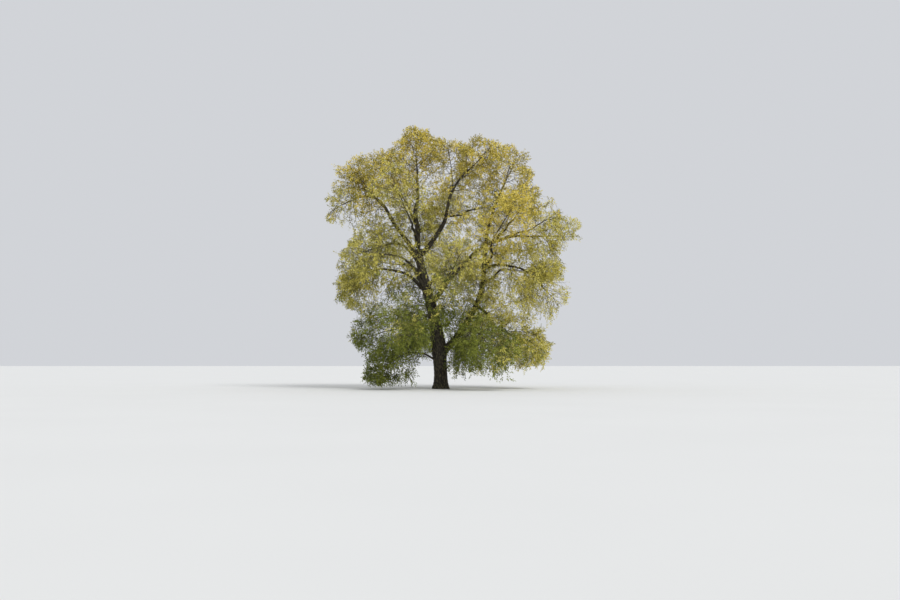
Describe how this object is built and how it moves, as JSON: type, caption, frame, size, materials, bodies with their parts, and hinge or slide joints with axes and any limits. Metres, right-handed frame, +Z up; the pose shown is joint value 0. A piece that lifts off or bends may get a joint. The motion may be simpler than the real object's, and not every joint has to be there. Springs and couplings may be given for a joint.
{
  "type": "broad-crowned willow tree",
  "caption": "Tall broad-crowned willow in young leaf: a leaning trunk that forks low, with boughs that rise, arch over and droop into airy masses of foliage.",
  "frame": {"origin": "middle of the trunk's flat cut at ground level", "axes": "+Z up the trunk, +X to the right and +Y away from the viewer, as seen from the picture's side"},
  "size_m": [19.4637, 15.5532, 19.9687],
  "materials": {
    "bark": "deeply furrowed dark bark",
    "leaves_gold": "matt young golden-olive leaves",
    "leaves_olive": "matt olive-green leaves",
    "leaves_green": "matt green leaves"
  },
  "bodies": {
    "root": {"trunk": "bark", "leader_middle": "bark", "leader_left": "bark", "leader_right": "bark", "leader_back": "bark", "left_riser": "bark", "right_riser": "bark", "cross_limb": "bark", "leader_front": "bark", "leader_rear": "bark", "left_arch_upper": "bark", "left_arch_front": "bark", "left_arch_lower": "bark", "back_left_bough": "bark", "back_bough": "bark", "front_bough": "bark", "front_left_bough": "bark", "back_low_bough": "bark", "low_left_bough": "bark", "low_left_arm": "bark", "cross_bough": "bark", "far_right_arm": "bark", "far_right_upper": "bark", "right_sub_stem": "bark", "right_stem": "bark", "right_front_bough": "bark", "right_arch_upper": "bark", "right_arch_back": "bark", "right_arch_lower": "bark", "right_low_back": "bark", "right_low_front": "bark", "foliage_crown_top": "leaves_gold", "foliage_top_left": "leaves_gold", "foliage_top_middle": "leaves_gold", "foliage_top_right": "leaves_gold", "foliage_right_dome": "leaves_gold", "foliage_right_shoulder": "leaves_gold", "foliage_left_shoulder": "leaves_gold", "foliage_left_tip": "leaves_olive", "foliage_upper_front": "leaves_olive", "foliage_upper_back": "leaves_olive", "foliage_inner_right": "leaves_olive", "foliage_right_upper": "leaves_olive", "foliage_far_right": "leaves_olive", "foliage_front_right": "leaves_gold", "foliage_left_dome": "leaves_olive", "foliage_left_front": "leaves_olive", "foliage_left_droop": "leaves_olive", "foliage_back_left": "leaves_olive", "foliage_back_middle": "leaves_olive", "foliage_front_middle": "leaves_olive", "foliage_right_back": "leaves_olive", "foliage_right_droop": "leaves_olive", "foliage_low_front_left": "leaves_green", "foliage_back_low": "leaves_green", "foliage_low_left": "leaves_green", "foliage_left_skirt": "leaves_green", "foliage_low_right": "leaves_olive", "foliage_low_back_right": "leaves_green", "foliage_low_front_right": "leaves_green"}
  },
  "joints": []
}
